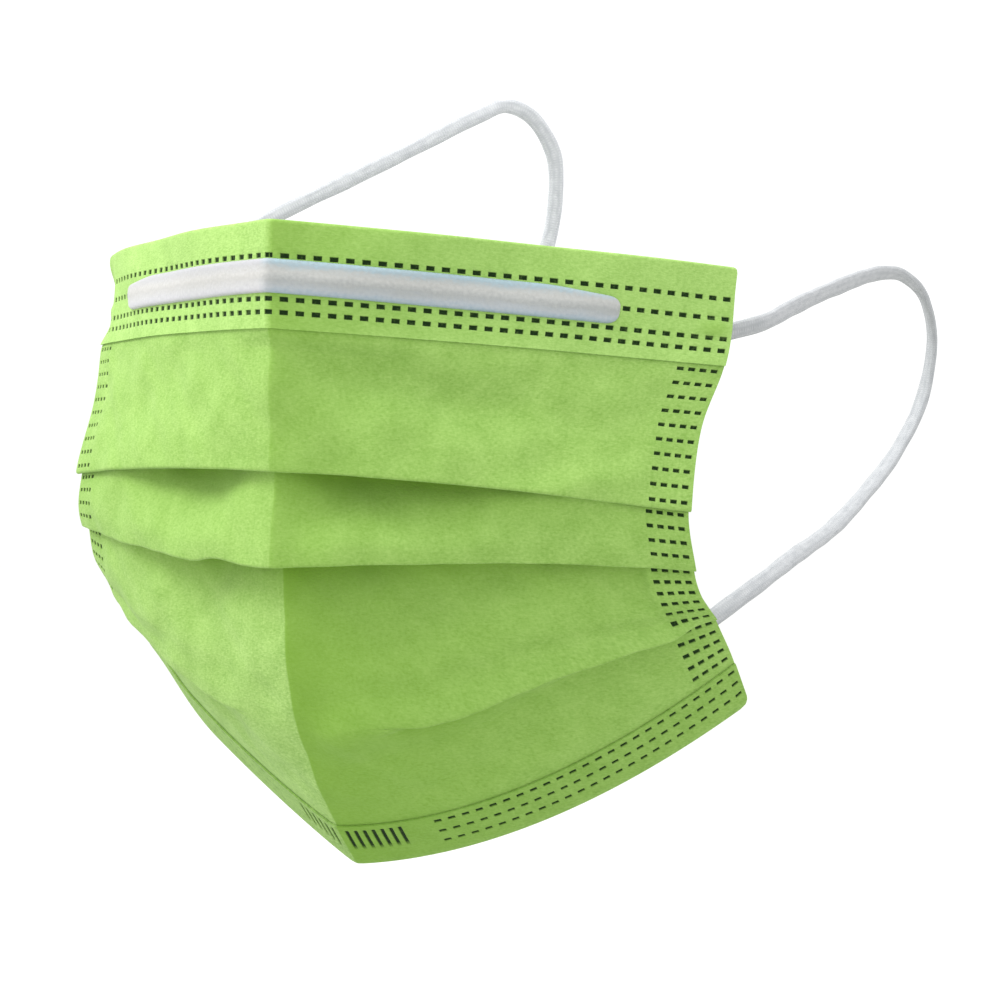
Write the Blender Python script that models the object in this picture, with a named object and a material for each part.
# Face mask: one pleated panel with a top and a bottom hem, a nose strip, two ear loops
# and the four weld pads that hold the loops, shaped as it is when worn.
# Metres, +Z up. The front faces -Y, X = 0 is the plane through the centre crease, and the
# origin lies at the inside of the top edge's centre, where the mask sits on the nose.

import math
from collections import namedtuple

import bpy
import numpy as np
from mathutils import Matrix, Vector

# Worn form: half the breadth between the side edges, front to back, and top to chin
HALF_BREADTH = 0.0681
DEPTH = 0.077
HEIGHT = 0.118

# Cloth and its folds
PANEL_WALL = 0.001
HEM_WALL = 0.001
CLEARANCE = 0.0003
FOLD_GAP = 0.0003
CREASE_REACH = 0.014

# Hems: length of the leg behind the panel, and how far the fold is from the panel's end
HEM_BACK_LEG = 0.007
HEM_END_GAP = 0.0003

# Nose strip on the top hem
STRIP_LENGTH = 0.128
STRIP_HEIGHT = 0.0061
STRIP_WALL = 0.001
STRIP_DOWN = 0.0100

# Ear loops and the pads that weld them to the inner face
CORD_DIAMETER = 0.0027
CORD_POINT_STEP = 0.0068
PAD_LENGTH = 0.0072
PAD_HEIGHT = 0.0046
PAD_WALL = 0.0030
PAD_EDGE_MARGIN = 0.0012

# Weld pads: how far each lies below its row, and how it is turned up from the outward way
Pad = namedtuple("Pad", "name side row below turn")
PADS = {
    "right": (
        Pad("loop_weld_top_right", 1.0, "top edge", 0.0129, 22.0),
        Pad("loop_weld_bottom_right", 1.0, "lip 3", 0.0054, 30.0),
    ),
    "left": (
        Pad("loop_weld_top_left", -1.0, "top edge", 0.0142, 75.0),
        Pad("loop_weld_bottom_left", -1.0, "lip 3", 0.0045, 10.0),
    ),
}

# Rows of the worn form, from the top edge to the bottom edge. Backward places are shares of
# DEPTH, downward places are shares of HEIGHT, and sideways ones are shares of HALF_BREADTH.
# The bows say how far a row leaves the straight line between its centre and its side.
Row = namedtuple(
    "Row",
    "name centre_back centre_down side_out side_back side_down bow_front bow_right bow_left crease",
)
ROWS = [
    Row("top edge", 0.000, 0.000, 1.000, 0.718, 0.009, 0.063, 0.000, 0.000, 0.018),
    Row("top hem", 0.030, 0.163, 0.997, 0.691, 0.167, 0.063, 0.000, 0.000, 0.018),
    Row("cheek", 0.055, 0.271, 0.979, 0.631, 0.270, 0.073, 0.000, 0.000, 0.024),
    Row("lip 1", 0.081, 0.378, 0.974, 0.581, 0.392, 0.073, -0.009, -0.009, 0.029),
    Row("lip 2", 0.109, 0.527, 0.971, 0.640, 0.493, 0.066, -0.018, 0.034, 0.037),
    Row("lip 3", 0.319, 0.789, 0.978, 0.784, 0.570, 0.088, 0.022, 0.060, 0.044),
    Row("bottom hem", 0.535, 0.933, 0.988, 0.897, 0.631, 0.044, 0.105, 0.090, 0.029),
    Row("bottom edge", 0.665, 1.000, 0.997, 1.000, 0.697, 0.029, 0.120, 0.100, 0.029),
]
ROW_NAMES = [row.name for row in ROWS]

# Folds, each named after its lip: how far the hidden tuck reaches up behind the lip at the
# centre and at the sides, how deep the cloth below the lip stands back at the crease and
# beside it (metres), and the shares of the half width where an opened fold starts and ends.
Fold = namedtuple("Fold", "lip tuck_centre tuck_side back_centre back_beside opens_from opens_to")
FOLDS = [
    Fold("lip 1", 0.0070, 0.0112, 0.0000, 0.0042, 0.00, 0.00),
    Fold("lip 2", 0.0070, 0.0098, 0.0044, 0.0040, 0.00, 0.00),
    Fold("lip 3", 0.0070, 0.0110, 0.0000, 0.0000, 0.62, 0.10),
]

# Soft dents of the panel: place across and down as shares of the half width and of the
# length at the centre, half lengths along and across it as shares of the same, turn in
# degrees, and depth in metres.
Dent = namedtuple("Dent", "across down reach_across reach_down turn depth")
DENTS = [
    Dent(0.34, 0.235, 0.300, 0.050, 28.0, 0.0020),
    Dent(-0.45, 0.245, 0.220, 0.050, -20.0, 0.0010),
    Dent(0.30, 0.560, 0.260, 0.045, -8.0, 0.0012),
    Dent(-0.30, 0.620, 0.200, 0.050, 12.0, 0.0012),
    Dent(0.42, 0.830, 0.260, 0.035, -14.0, 0.0012),
]
FLARE_DEPTH = 0.0014
FLARE_REACH = 0.0075

# Columns across the sheet, as shares of the half width, mirrored to the other half
HALF_COLUMNS = (0.0, 0.018, 0.05, 0.10, 0.17, 0.26, 0.36, 0.46, 0.56, 0.66, 0.76, 0.86, 0.94, 1.0)
ROW_SAMPLES = 161
DOWN_SAMPLES = 141
NORMAL_STEP = 0.01

# Routes of the ear loops from the upper pad to the lower one, chosen by hand, in metres
RIGHT_ROUTE = [
    (0.0710, 0.0612, -0.0099),
    (0.0716, 0.0760, -0.0061),
    (0.0725, 0.0980, 0.0000),
    (0.0742, 0.1230, 0.0060),
    (0.0753, 0.1371, 0.0068),
    (0.0762, 0.1500, 0.0033),
    (0.0765, 0.1564, -0.0047),
    (0.0760, 0.1557, -0.0179),
    (0.0749, 0.1466, -0.0293),
    (0.0731, 0.1291, -0.0399),
    (0.0713, 0.1094, -0.0479),
    (0.0703, 0.0905, -0.0538),
    (0.0694, 0.0760, -0.0587),
]
LEFT_ROUTE = [
    (-0.0624, 0.0555, -0.0064),
    (-0.0593, 0.0605, -0.0034),
    (-0.0543, 0.0664, 0.0010),
    (-0.0432, 0.0762, 0.0106),
    (-0.0243, 0.0943, 0.0261),
    (-0.0119, 0.1064, 0.0366),
    (-0.0080, 0.1105, 0.0392),
    (-0.0040, 0.1150, 0.0378),
    (-0.0008, 0.1195, 0.0321),
    (0.0001, 0.1214, 0.0270),
    (-0.0012, 0.1225, 0.0111),
    (-0.0080, 0.1190, -0.0060),
    (-0.0230, 0.1080, -0.0240),
    (-0.0420, 0.0930, -0.0430),
    (-0.0570, 0.0810, -0.0570),
    (-0.0634, 0.0705, -0.0632),
]

FOLD_PITCH = PANEL_WALL + FOLD_GAP
BASE_SET_OUT = HEM_WALL + CLEARANCE + PANEL_WALL / 2


def ease(share):
    """Smooth step from 0 to 1 for a share between 0 and 1."""
    share = np.clip(share, 0.0, 1.0)
    return share * share * (3.0 - 2.0 * share)


def row_curve(row, across, crease_reach=0.0):
    """Points of one row: its straight run, bowed, with the crease rounded over a short reach."""
    share = np.linspace(0.0, 1.0, ROW_SAMPLES)
    crease = row.crease + crease_reach
    rise = (np.sqrt(share ** 2 + crease ** 2) - crease) / (math.sqrt(1.0 + crease ** 2) - crease)
    bulge = 4.0 * rise * (1.0 - rise)
    out = share * row.side_out * HALF_BREADTH
    back = DEPTH * (row.centre_back + (row.side_back - row.centre_back) * rise)
    back = back - HALF_BREADTH * row.bow_front * bulge - BASE_SET_OUT
    down = HEIGHT * (row.centre_down + (row.side_down - row.centre_down) * rise)
    halves = []
    for bow in (row.bow_left, row.bow_right):
        halves.append(np.stack([out, back, -down - HALF_BREADTH * bow * bulge], axis=-1))
    lengths = np.linalg.norm(np.diff(halves[1], axis=0), axis=1)
    along = np.concatenate([[0.0], np.cumsum(lengths)])
    reach = np.abs(across) * along[-1]
    left, right = (
        np.stack([np.interp(reach, along, half[:, axis]) for axis in range(3)], axis=-1)
        for half in halves
    )
    points = np.where((across < 0.0)[:, None], left, right)
    points[:, 0] = points[:, 0] * np.sign(across)
    return points


def centre_lengths():
    """Length down the centre crease at each row."""
    centres = np.array([(DEPTH * row.centre_back, HEIGHT * row.centre_down) for row in ROWS])
    steps = np.linalg.norm(np.diff(centres, axis=0), axis=1)
    return np.concatenate([[0.0], np.cumsum(steps)])


def columns_of_points(across, crease_reach=0.0):
    """Smooth curves down the sheet through the rows, one for each place across."""
    knots = centre_lengths()
    rows = np.stack([row_curve(row, across, crease_reach) for row in ROWS])
    steps = np.diff(knots)[:, None, None]
    slopes = np.diff(rows, axis=0) / steps
    tangents = np.empty_like(rows)
    tangents[0] = slopes[0]
    tangents[-1] = slopes[-1]
    share = steps[:-1] / (steps[:-1] + steps[1:])
    tangents[1:-1] = slopes[:-1] * (1.0 - share) + slopes[1:] * share
    down = np.linspace(0.0, knots[-1], DOWN_SAMPLES)
    start = np.clip(np.searchsorted(knots, down, side="right") - 1, 0, len(knots) - 2)
    step = steps[start]
    part = ((down - knots[start]) / step[:, 0, 0])[:, None, None]
    points = (2 * part ** 3 - 3 * part ** 2 + 1) * rows[start]
    points += (part ** 3 - 2 * part ** 2 + part) * step * tangents[start]
    points += (3 * part ** 2 - 2 * part ** 3) * rows[start + 1]
    points += (part ** 3 - part ** 2) * step * tangents[start + 1]
    return points, down


class Form:
    """The worn form at chosen columns: its points, inward directions and lengths down."""

    def __init__(self, across):
        self.across = np.asarray(across, dtype=float)
        self.points, self.down = columns_of_points(self.across)
        soft, _ = columns_of_points(self.across, CREASE_REACH / HALF_BREADTH)
        aside, _ = columns_of_points(self.across + NORMAL_STEP, CREASE_REACH / HALF_BREADTH)
        other, _ = columns_of_points(self.across - NORMAL_STEP, CREASE_REACH / HALF_BREADTH)
        inward = np.cross(aside - other, np.gradient(soft, axis=0))
        self.inward = inward / np.linalg.norm(inward, axis=2, keepdims=True)
        steps = np.linalg.norm(np.diff(self.points, axis=0), axis=2)
        self.lengths = np.vstack([np.zeros(len(self.across)), np.cumsum(steps, axis=0)])

    def length_at(self, column, row_name):
        """Length down one column to a named row."""
        row_down = centre_lengths()[ROW_NAMES.index(row_name)]
        return float(np.interp(row_down, self.down, self.lengths[:, column]))

    def place(self, column, length, inset):
        """Points at lengths down a column, moved inward by an inset."""
        length = np.asarray(length, dtype=float)
        along = self.lengths[:, column]
        spot = np.stack(
            [np.interp(length, along, self.points[:, column, axis]) for axis in range(3)], axis=-1
        )
        inward = np.stack(
            [np.interp(length, along, self.inward[:, column, axis]) for axis in range(3)], axis=-1
        )
        return spot + inward * np.asarray(inset)[..., None]


def dent_depth(across, down_share):
    """Depth of the soft dents at a place on the sheet."""
    depth = np.zeros_like(down_share)
    for dent in DENTS:
        turn = math.radians(dent.turn)
        side = across - dent.across
        drop = down_share - dent.down
        along = (side * math.cos(turn) + drop * math.sin(turn)) / dent.reach_across
        over = (drop * math.cos(turn) - side * math.sin(turn)) / dent.reach_down
        depth = depth + dent.depth * np.exp(-along ** 2 - over ** 2)
    return depth


def fold_sizes(fold, across):
    """Tuck length, set-back below the lip and opened share of a fold at one column."""
    side = abs(across)
    tuck = fold.tuck_centre + (fold.tuck_side - fold.tuck_centre) * ease(side / 0.8)
    beside = fold.back_beside * math.sin(math.pi * min(side / 0.86, 1.0)) ** 1.2
    centre = fold.back_centre * (1.0 - ease(side / 0.5))
    opened = 0.0
    if fold.opens_from > fold.opens_to:
        opened = 1.0 - ease((side - fold.opens_to) / (fold.opens_from - fold.opens_to))
    return tuck, beside + centre, float(opened)


def fold_points(lip, tuck, front_inset, step_back, opened):
    """One S-shaped fold: down to the lip, up behind it, and down again behind that."""
    radius = FOLD_PITCH / 2
    turns = np.linspace(0.0, math.pi, 5)
    lip_length = lip - radius + radius * np.sin(turns)
    lip_inset = radius - radius * np.cos(turns)
    top_length = lip - tuck - radius * np.sin(turns)
    top_inset = front_inset + 3 * radius - radius * np.cos(turns)
    end_length = [lip - tuck / 2, lip]
    end_inset = [front_inset / 2 + 4 * radius + step_back / 2, 4 * radius + step_back]
    length = np.concatenate([lip_length, top_length, end_length])
    inset = np.concatenate([lip_inset, top_inset, end_inset])
    flat = np.linspace(lip - tuck * 0.6, lip + tuck * 0.6, len(length))
    length = length * (1.0 - opened) + flat * opened
    inset = inset * min(1.0, 2.0 * (1.0 - opened))
    return length, inset


def panel_path(form, column):
    """Lengths and insets of the folded sheet down one column."""
    across = form.across[column]
    end = form.length_at(column, "bottom edge")
    first = HEM_WALL + HEM_END_GAP
    length = [np.linspace(first, form.length_at(column, "lip 1") - FOLD_PITCH, 9)]
    inset = [np.zeros(9)]
    previous = length[0][-1]
    behind = 0.0
    for fold in FOLDS:
        lip = form.length_at(column, fold.lip)
        tuck, step_back, opened = fold_sizes(fold, across)
        front_inset = behind * tuck / max(lip - previous, tuck)
        if fold.lip != "lip 1":
            run = np.linspace(0.0, 1.0, 6)[1:-1]
            length.append(previous + (lip - FOLD_PITCH - previous) * run)
            inset.append(behind * (1.0 - run))
        fold_length, fold_inset = fold_points(lip, tuck, front_inset, step_back, opened)
        length.append(fold_length)
        inset.append(fold_inset)
        previous = fold_length[-1]
        behind = fold_inset[-1]
    hem = form.length_at(column, "bottom hem")
    run = np.linspace(0.0, 1.0, 5)[1:]
    length.append(previous + (hem - previous) * run)
    inset.append(behind * (1.0 - run))
    length.append(np.linspace(hem, end - first, 4)[1:])
    inset.append(np.zeros(3))
    return np.concatenate(length), np.concatenate(inset)


def panel_relief(form, column, length, inset):
    """Dents and the flare above the third lip, kept off the hems and the side welds."""
    across = form.across[column]
    end = form.length_at(column, "bottom edge")
    hem_top = form.length_at(column, "top hem")
    hem_low = form.length_at(column, "bottom hem")
    free = ease((length - hem_top) / 0.010) * ease((hem_low - length) / 0.010)
    free = free * ease((0.93 - abs(across)) / 0.15)
    lip = form.length_at(column, "lip 3")
    above = (length - lip) / FLARE_REACH
    flare = FLARE_DEPTH * np.exp(-above ** 2) * ease(abs(across) / 0.2)
    return inset + free * (dent_depth(across, length / end) - flare)


def hem_path(start, end, inner_leg_end, wrap_inset):
    """Front leg, fold around the panel's end and short back leg, as lengths and insets."""
    radius = wrap_inset
    turn_centre = end + math.copysign(radius + HEM_WALL / 2, start - end)
    turns = np.linspace(0.0, math.pi, 7)
    front = np.linspace(start, turn_centre, 5)[:-1]
    round_length = turn_centre + math.copysign(radius, end - start) * np.sin(turns)
    back = np.linspace(turn_centre, inner_leg_end, 4)[1:]
    length = np.concatenate([front, round_length, back])
    inset = np.concatenate([np.full(4, -radius), -radius * np.cos(turns), np.full(3, radius)])
    return length, inset


def offset_path(length, inset, distance):
    """The path moved sideways by a distance, with mitred corners."""
    path = np.stack([length, inset], axis=-1)
    runs = np.diff(path, axis=0)
    runs = runs / np.linalg.norm(runs, axis=1, keepdims=True)
    sides = np.stack([-runs[:, 1], runs[:, 0]], axis=-1)
    before = np.vstack([sides[:1], sides])
    after = np.vstack([sides, sides[-1:]])
    middle = before + after
    middle = middle / np.linalg.norm(middle, axis=1, keepdims=True)
    mitre = 1.0 / np.maximum(np.sum(middle * after, axis=1), 0.7)
    moved = path + middle * mitre[:, None] * distance
    return moved[:, 0], moved[:, 1]


def sheet_mesh(name, form, paths, wall):
    """A closed solid of one wall thickness, from one path down each column."""
    outer = []
    inner = []
    for column, (length, inset) in enumerate(paths):
        for side, distance in ((outer, -wall / 2), (inner, wall / 2)):
            moved_length, moved_inset = offset_path(length, inset, distance)
            side.append(form.place(column, moved_length, moved_inset))
    points = np.stack([np.stack(outer), np.stack(inner)])
    _, wide, tall, _ = points.shape
    index = np.arange(points.size // 3).reshape(2, wide, tall)
    faces = []
    for side in (0, 1):
        grid = index[side]
        quads = np.stack([grid[:-1, :-1], grid[:-1, 1:], grid[1:, 1:], grid[1:, :-1]], axis=-1)
        quads = quads.reshape(-1, 4)
        faces.append(quads if side == 0 else quads[:, ::-1])
    rims = (
        (index[1, :, 0], index[0, :, 0]),
        (index[0, :, -1], index[1, :, -1]),
        (index[0, 0, :], index[1, 0, :]),
        (index[1, -1, :], index[0, -1, :]),
    )
    for near, far in rims:
        faces.append(np.stack([near[:-1], far[:-1], far[1:], near[1:]], axis=-1))
    mesh = bpy.data.meshes.new(name)
    mesh.from_pydata(points.reshape(-1, 3).tolist(), [], np.concatenate(faces).tolist())
    mesh.update()
    return mesh


def plain_material(name, colour, roughness):
    """A cloth or plastic material with one colour."""
    material = bpy.data.materials.new(name)
    material.use_nodes = True
    shader = material.node_tree.nodes["Principled BSDF"]
    shader.inputs["Base Color"].default_value = (*colour, 1.0)
    shader.inputs["Roughness"].default_value = roughness
    shader.inputs["Metallic"].default_value = 0.0
    return material


def add_object(name, data, material):
    """Put a named object with its material into the scene."""
    data.materials.append(material)
    part = bpy.data.objects.new(name, data)
    bpy.context.scene.collection.objects.link(part)
    return part


def mirrored_columns():
    """All columns across the sheet, left to right."""
    half = np.array(HALF_COLUMNS)
    return np.concatenate([-half[:0:-1], half])


def build_panel(material):
    """The folded sheet from hem to hem."""
    form = Form(mirrored_columns())
    paths = []
    for column in range(len(form.across)):
        length, inset = panel_path(form, column)
        paths.append((length, panel_relief(form, column, length, inset)))
    add_object("mask_panel", sheet_mesh("mask_panel", form, paths, PANEL_WALL), material)


def build_hems(material):
    """Top and bottom hems, each folded around an edge of the panel."""
    form = Form(mirrored_columns())
    wrap = (PANEL_WALL + HEM_WALL) / 2 + CLEARANCE
    top = []
    bottom = []
    for column in range(len(form.across)):
        top.append(hem_path(form.length_at(column, "top hem"), 0.0, HEM_BACK_LEG, wrap))
        end = form.length_at(column, "bottom edge")
        start = form.length_at(column, "bottom hem")
        bottom.append(hem_path(start, end, end - HEM_BACK_LEG, wrap))
    add_object("top_hem", sheet_mesh("top_hem", form, top, HEM_WALL), material)
    add_object("bottom_hem", sheet_mesh("bottom_hem", form, bottom, HEM_WALL), material)


def sheet_half_width():
    """Length of the top edge from the crease to a side."""
    row = row_curve(ROWS[0], np.linspace(0.0, 1.0, ROW_SAMPLES))
    return float(np.linalg.norm(np.diff(row, axis=0), axis=1).sum())


def build_strip(material):
    """Nose strip with round ends, laid on the front of the top hem."""
    half_width = sheet_half_width()
    half_height = STRIP_HEIGHT / 2
    half_length = STRIP_LENGTH / 2
    turns = np.linspace(0.0, math.pi / 2, 6)[:-1]
    ends = half_length - half_height + half_height * np.cos(turns)
    middle = np.array([share for share in HALF_COLUMNS if share * half_width < ends[-1] - half_height])
    spots = np.concatenate([middle * half_width, ends[::-1]])
    spots = np.concatenate([-spots[:0:-1], spots])
    form = Form(spots / half_width)
    out = -(PANEL_WALL / 2 + 2 * CLEARANCE + HEM_WALL + STRIP_WALL / 2)
    paths = []
    for spot in np.abs(spots):
        past = max(spot - (half_length - half_height), 0.0)
        reach = math.sqrt(max(half_height ** 2 - past ** 2, (0.12 * half_height) ** 2))
        length = np.linspace(STRIP_DOWN - reach, STRIP_DOWN + reach, 4)
        paths.append((length, np.full(4, out)))
    add_object("nose_strip", sheet_mesh("nose_strip", form, paths, STRIP_WALL), material)


def pad_frame(pad):
    """Centre of a weld pad, its long, inward and cross directions, from the cloth it lies on."""
    centre_across = 1.0 - (PAD_EDGE_MARGIN + PAD_LENGTH / 2) / sheet_half_width()
    form = Form(pad.side * (centre_across + NORMAL_STEP * np.array([-1.0, 0.0, 1.0])))
    inset = PANEL_WALL / 2 + CLEARANCE + PAD_WALL / 2
    rows = []
    for column in range(3):
        length = form.length_at(column, pad.row) + pad.below
        spots = length + PAD_HEIGHT / 2 * np.array([-1.0, 0.0, 1.0])
        cloth = np.zeros(3)
        if pad.row != "top edge":
            path = panel_path(form, column)
            cloth = np.interp(spots, path[0][-10:], path[1][-10:])
        rows.append([Vector(spot) for spot in form.place(column, spots, cloth + inset)])
    outward = (rows[2][1] - rows[0][1]).normalized()
    upward = (rows[1][0] - rows[1][2]).normalized()
    inward = outward.cross(upward) * -pad.side
    inward.normalize()
    upward = inward.cross(outward) * -pad.side
    turn = math.radians(pad.turn)
    long_way = outward * math.cos(turn) + upward * math.sin(turn)
    return rows[1][1], long_way, inward, long_way.cross(inward)


def build_pad(pad, frame, material):
    """A flat pad with rounded edges, lying on the inner face of the panel."""
    centre, long_way, inward, cross_way = frame
    bpy.ops.mesh.primitive_cube_add(size=1.0)
    block = bpy.context.object
    block.name = pad.name
    block.data.name = pad.name
    block.data.transform(Matrix.Diagonal((PAD_LENGTH, PAD_WALL, PAD_HEIGHT, 1.0)))
    block.data.transform(Matrix((long_way, inward, cross_way)).transposed().to_4x4())
    block.location = centre
    bevel = block.modifiers.new("Rounded edges", "BEVEL")
    bevel.width = PAD_WALL * 0.28
    bevel.segments = 2
    block.data.materials.append(material)


def smooth_route(points):
    """A curve through the route's points, with a point at every even step along it."""
    knots = np.array(points)
    gaps = np.sqrt(np.linalg.norm(np.diff(knots, axis=0), axis=1))
    times = np.concatenate([[0.0], np.cumsum(gaps)])
    tangents = np.gradient(knots, times, axis=0)
    fine = np.linspace(0.0, times[-1], 40 * len(knots))
    start = np.clip(np.searchsorted(times, fine, side="right") - 1, 0, len(times) - 2)
    step = (times[start + 1] - times[start])[:, None]
    part = (fine - times[start])[:, None] / step
    curve = (2 * part ** 3 - 3 * part ** 2 + 1) * knots[start]
    curve += (part ** 3 - 2 * part ** 2 + part) * step * tangents[start]
    curve += (3 * part ** 2 - 2 * part ** 3) * knots[start + 1]
    curve += (part ** 3 - part ** 2) * step * tangents[start + 1]
    along = np.concatenate([[0.0], np.cumsum(np.linalg.norm(np.diff(curve, axis=0), axis=1))])
    count = max(int(round(along[-1] / CORD_POINT_STEP)), 8)
    even = np.linspace(0.0, along[-1], count)
    return np.stack([np.interp(even, along, curve[:, axis]) for axis in range(3)], axis=-1)


def build_loop(name, route, upper, lower, material):
    """An ear loop: a round cord from the end of the upper pad to the end of the lower one."""
    ends = []
    for centre, long_way, _, _ in (upper, lower):
        tip = centre + long_way * (PAD_LENGTH / 2 + CLEARANCE)
        ends.append((tip, tip + long_way * CORD_DIAMETER * 0.6))
    knots = [ends[0][1], *route, ends[1][1]]
    points = [ends[0][0], *smooth_route([tuple(knot) for knot in knots]), ends[1][0]]
    curve = bpy.data.curves.new(name, "CURVE")
    curve.dimensions = "3D"
    curve.bevel_depth = CORD_DIAMETER / 2
    curve.bevel_resolution = 2
    curve.use_fill_caps = True
    spline = curve.splines.new("POLY")
    spline.points.add(len(points) - 1)
    for spot, point in zip(spline.points, points):
        spot.co = (*point, 1.0)
    add_object(name, curve, material)


def build():
    """The whole mask."""
    for thing in list(bpy.data.objects):
        bpy.data.objects.remove(thing, do_unlink=True)
    green = plain_material("Green nonwoven", (0.42, 0.68, 0.16), 0.85)
    hem_green = plain_material("Green hem nonwoven", (0.42, 0.68, 0.16), 0.85)
    white = plain_material("White plastic strip", (0.68, 0.70, 0.72), 0.55)
    elastic = plain_material("White elastic", (0.72, 0.74, 0.76), 0.8)
    build_panel(green)
    build_hems(hem_green)
    build_strip(white)
    for label, route in (("right", RIGHT_ROUTE), ("left", LEFT_ROUTE)):
        frames = [pad_frame(pad) for pad in PADS[label]]
        for pad, frame in zip(PADS[label], frames):
            build_pad(pad, frame, elastic)
        build_loop("ear_loop_" + label, route, *frames, elastic)


build()
